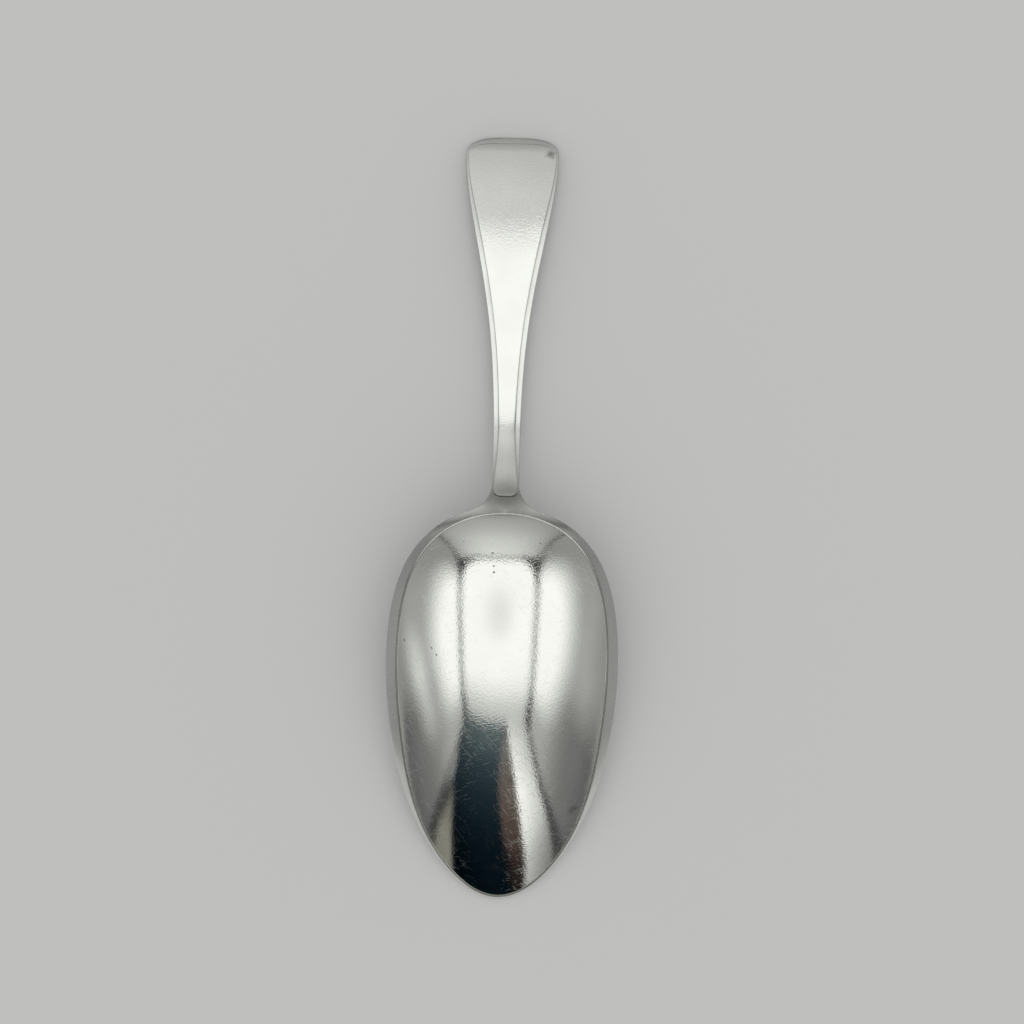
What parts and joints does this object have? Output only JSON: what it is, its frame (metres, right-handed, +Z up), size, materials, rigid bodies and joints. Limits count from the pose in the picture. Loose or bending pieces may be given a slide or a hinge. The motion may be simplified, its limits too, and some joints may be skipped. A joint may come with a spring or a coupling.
{
  "type": "spoon",
  "caption": "Metal spoon lying face down: an egg-shaped bowl with a narrow bevelled rim, a slim swept stem and a flared handle with a raised back plate.",
  "frame": {"origin": "on the table, under the middle of the spoon's length and on its line of symmetry", "axes": "+Y along the spoon towards the end of the handle, +Z up from the table out of the back of the bowl, +X to the right"},
  "size_m": [0.0452, 0.1518, 0.0191],
  "materials": {
    "polished_bowl": "polished",
    "satin_frame": "satin",
    "satin_plate": "satin",
    "solder": "matte"
  },
  "bodies": {
    "root": {"bowl_shell": "polished_bowl", "rim_frame": "satin_frame", "handle_back_plate": "satin_plate", "bowl_solder_seam": "solder", "handle_solder_layer": "solder"}
  },
  "joints": []
}
